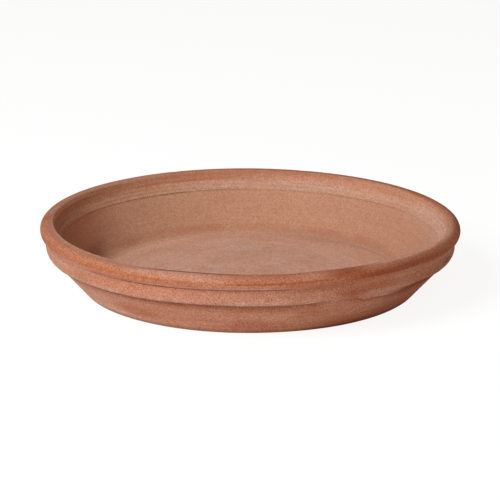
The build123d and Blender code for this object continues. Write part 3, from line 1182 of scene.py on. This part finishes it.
class SAUCER_OT_rim(bpy.types.Operator):
    """Turn the rolled rim with its inner lip"""

    bl_idname = "saucer.rim"
    bl_label = "Rolled rim"
    bl_options = {"REGISTER", "UNDO"}

    def execute(self, context):
        sizes = section_sizes(context.scene)
        half_round = 0.999 * sizes.roll_radius
        corners = [
            (sizes.line_radius, sizes.line_height, 0.4 * sizes.line_depth),
            (sizes.seat_radius, sizes.line_height, 0),
            (sizes.seat_radius, sizes.collar_top, 0),
            (sizes.rim_radius, sizes.collar_top, half_round),
            (sizes.rim_radius, sizes.height, half_round),
            (sizes.lip_radius, sizes.height, sizes.arris_round),
            (sizes.lip_radius, sizes.lip_foot, sizes.lip_hollow),
        ]
        creases = [
            (sizes.line_radius, sizes.line_height, LINE_DARKENING, scored_line),
            *under_roll(sizes.rim_radius - sizes.roll_radius, sizes),
        ]
        nicked = (sizes.collar_top, sizes.height)
        solid = fired_solid(context, corners, creases, nicked, step_share=0.7)
        materials = [rim_clay(sizes, context.scene.saucer_colours)]
        finished_piece("clay_rim", solid, "rim_roll", materials)
        return {"FINISHED"}


def pointed(obj, place, aim):
    """Put a camera or a lamp at a place and point it at another."""
    obj.location = place
    obj.rotation_euler = (aim - place).to_track_quat("-Z", "Y").to_euler()
    bpy.context.scene.collection.objects.link(obj)


def from_front(turn, elevation, distance):
    """A point at a distance from the origin, by its turn from the front and its elevation."""
    flat = distance * math.cos(elevation)
    return Vector((flat * math.sin(turn), -flat * math.cos(turn), distance * math.sin(elevation)))


def mixed(tree, factor, first, second):
    """A shader mixed from two shader nodes."""
    inputs = {0: factor, 1: first.outputs[0], 2: second.outputs[0]}
    return new_node(tree, "ShaderNodeMixShader", inputs)


def seen_directly(tree):
    """1 for what the camera sees, straight or in a reflection or through glass, and 0 for light."""
    path = new_node(tree, "ShaderNodeLightPath").outputs
    shiny = sums(tree, "MAXIMUM", path["Is Glossy Ray"], path["Is Transmission Ray"])
    return sums(tree, "MAXIMUM", path["Is Camera Ray"], shiny)


def studio_floor_material(studio):
    """White floor that keeps a soft part of the saucer's shadow.

    It is clear from below, and close under the foot it lets light through to the saucer's underside.
    """
    material = bpy.data.materials.new("Studio floor")
    material.use_nodes = True
    tree = material.node_tree
    tree.nodes.clear()
    matt = new_node(tree, "ShaderNodeBsdfDiffuse", {"Color": (*studio.floor_white, 1.0)})
    faint = [studio.shadow_share * channel for channel in studio.floor_white]
    shadow = new_node(tree, "ShaderNodeBsdfDiffuse", {"Color": (*faint, 1.0)})
    white = new_node(tree, "ShaderNodeEmission", {"Color": WHITE, "Strength": studio.floor_glow})
    shown = new_node(tree, "ShaderNodeAddShader", {0: shadow.outputs[0], 1: white.outputs[0]})
    seen = mixed(tree, seen_directly(tree), matt, shown)
    clear = new_node(tree, "ShaderNodeBsdfTransparent")
    from_below = new_node(tree, "ShaderNodeNewGeometry").outputs["Backfacing"]
    path = new_node(tree, "ShaderNodeLightPath").outputs
    close_under = sums(tree, "LESS_THAN", path["Ray Length"], studio.clear_gap)
    both = mixed(tree, sums(tree, "MAXIMUM", from_below, close_under), seen, clear)
    new_node(tree, "ShaderNodeOutputMaterial", {"Surface": both.outputs[0]})
    return material


def studio_world(studio):
    """Even soft light all round, seen as white."""
    world = bpy.data.worlds.new("Studio")
    world.use_nodes = True
    tree = world.node_tree
    tree.nodes.clear()
    room = {"Color": (*studio.room_tint, 1.0), "Strength": studio.room_light}
    light = new_node(tree, "ShaderNodeBackground", room)
    white = new_node(tree, "ShaderNodeBackground", {"Color": WHITE, "Strength": 1.0})
    both = mixed(tree, seen_directly(tree), light, white)
    new_node(tree, "ShaderNodeOutputWorld", {"Surface": both.outputs[0]})
    return world


class SAUCER_OT_studio(bpy.types.Operator):
    """Set up the floor, the lamps and the camera"""

    bl_idname = "saucer.studio"
    bl_label = "Studio"
    bl_options = {"REGISTER", "UNDO"}

    def lamp(self, name, studio, direction, elevation, watts, tint):
        """Hang a square soft lamp that shines at the saucer."""
        data = bpy.data.lights.new(name, "AREA")
        data.size = studio.lamp_size
        data.energy = watts
        data.color = tint
        aim = Vector((0, 0, studio.aim_height))
        place = aim + from_front(direction, elevation, studio.lamp_distance)
        pointed(bpy.data.objects.new(name, data), place, aim)

    def execute(self, context):
        scene = context.scene
        studio = scene.saucer_studio
        ground = bmesh.new()
        bmesh.ops.create_circle(ground, cap_ends=True, segments=STUDIO_FLOOR_SIDES, radius=studio.floor_size)
        mesh = bpy.data.meshes.new("studio_floor")
        ground.to_mesh(mesh)
        ground.free()
        mesh.materials.append(studio_floor_material(studio))
        floor = bpy.data.objects.new("studio_floor", mesh)
        scene.collection.objects.link(floor)

        aim = Vector((studio.aim_side, 0, studio.aim_height))
        camera_data = bpy.data.cameras.new("Camera")
        focal_pixels = studio.pixels_per_metre * studio.camera_distance
        camera_data.lens = camera_data.sensor_width * focal_pixels / IMAGE_PIXELS
        camera = bpy.data.objects.new("Camera", camera_data)
        pointed(camera, aim + from_front(0, studio.camera_elevation, studio.camera_distance), aim)
        scene.camera = camera

        key = (studio.key_direction, studio.key_elevation, studio.key_power, studio.key_tint)
        self.lamp("Key", studio, *key)
        fill = (studio.fill_direction, studio.fill_elevation, studio.fill_power, studio.fill_tint)
        self.lamp("Fill", studio, *fill)

        scene.world = studio_world(studio)
        scene.view_settings.view_transform = "Standard"
        return {"FINISHED"}


class SAUCER_PT_panel(bpy.types.Panel):
    """Buttons and settings of the saucer"""

    bl_idname = "SAUCER_PT_panel"
    bl_label = "Plant saucer"
    bl_space_type = "VIEW_3D"
    bl_region_type = "UI"
    bl_category = "Saucer"

    def draw(self, context):
        for operator in OPERATORS:
            self.layout.operator(operator.bl_idname)
        for group_name in SETTINGS:
            settings = getattr(context.scene, group_name)
            box = self.layout.box()
            for name in setting_names(settings):
                box.prop(settings, name)


SETTINGS = {
    "saucer_sizes": SaucerSizes,
    "saucer_hand": HandMarks,
    "saucer_colours": ClayColours,
    "saucer_studio": StudioSettings,
}
OPERATORS = (SAUCER_OT_floor, SAUCER_OT_wall, SAUCER_OT_collar, SAUCER_OT_rim, SAUCER_OT_studio)
CLASSES = (*SETTINGS.values(), *OPERATORS, SAUCER_PT_panel)


def register():
    for cls in CLASSES:
        bpy.utils.register_class(cls)
    for name, cls in SETTINGS.items():
        setattr(bpy.types.Scene, name, PointerProperty(type=cls))


def unregister():
    for name in SETTINGS:
        delattr(bpy.types.Scene, name)
    for cls in reversed(CLASSES):
        bpy.utils.unregister_class(cls)


def main():
    register()
    shared_effects()
    bpy.ops.saucer.floor()
    bpy.ops.saucer.wall()
    bpy.ops.saucer.collar()
    bpy.ops.saucer.rim()
    bpy.ops.saucer.studio()


if __name__ == "__main__":
    main()
